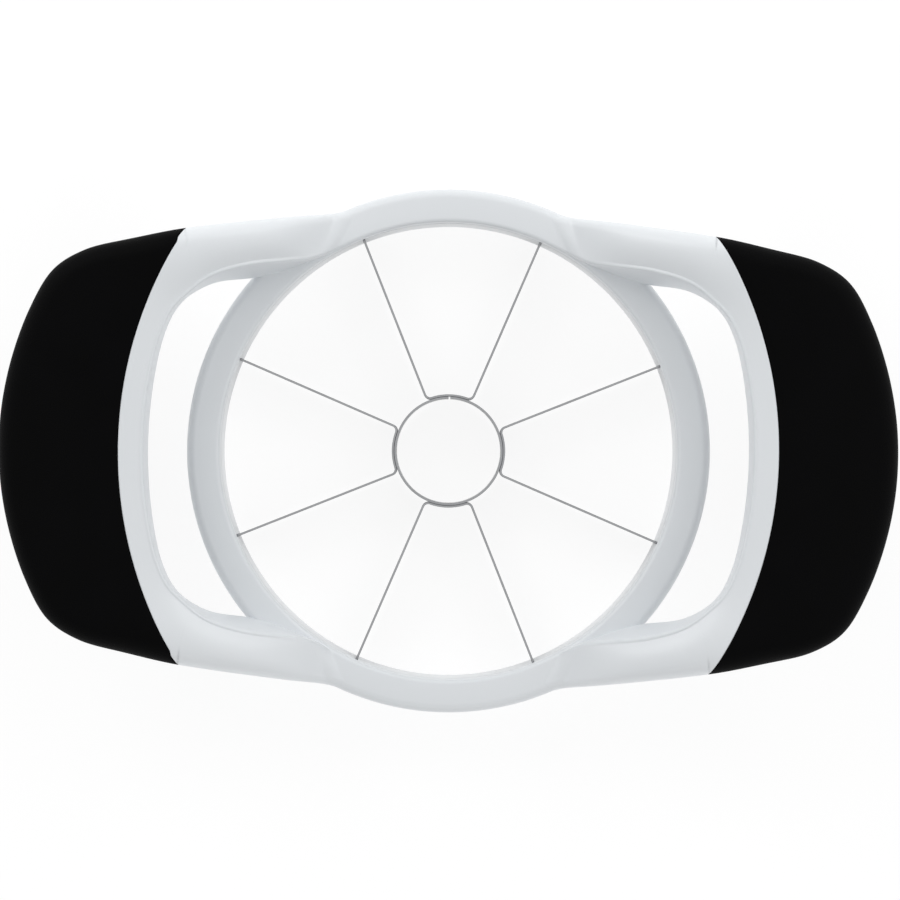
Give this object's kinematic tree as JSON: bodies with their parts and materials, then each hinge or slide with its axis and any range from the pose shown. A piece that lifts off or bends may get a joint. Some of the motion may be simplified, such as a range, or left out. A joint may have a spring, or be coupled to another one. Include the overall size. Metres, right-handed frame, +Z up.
{
  "type": "apple slicer and corer",
  "caption": "Hand-held apple slicer and corer: a ring of steel blades round a core ring, pushed down by two raised soft-grip loop handles.",
  "frame": {"origin": "on the axis of the ring, at the flat underside that stands on the table", "axes": "+X from the left handle to the right handle, +Y to the back, +Z up, away from the cutting edges"},
  "size_m": [0.2018, 0.12, 0.0363],
  "materials": {
    "frame_white": "moulded ABS, cool white, fine satin",
    "retainer_white": "moulded ABS, natural white",
    "blade_steel": "rolled stainless strip, ground lower edge",
    "grip_black": "overmoulded black elastomer, fine matt texture"
  },
  "bodies": {
    "root": {"frame": "frame_white", "retaining_ring": "retainer_white", "core_ring": "blade_steel", "blade_strip_right": "blade_steel", "blade_strip_back": "blade_steel", "blade_strip_left": "blade_steel", "blade_strip_front": "blade_steel", "left_grip": "grip_black", "right_grip": "grip_black"}
  },
  "joints": []
}
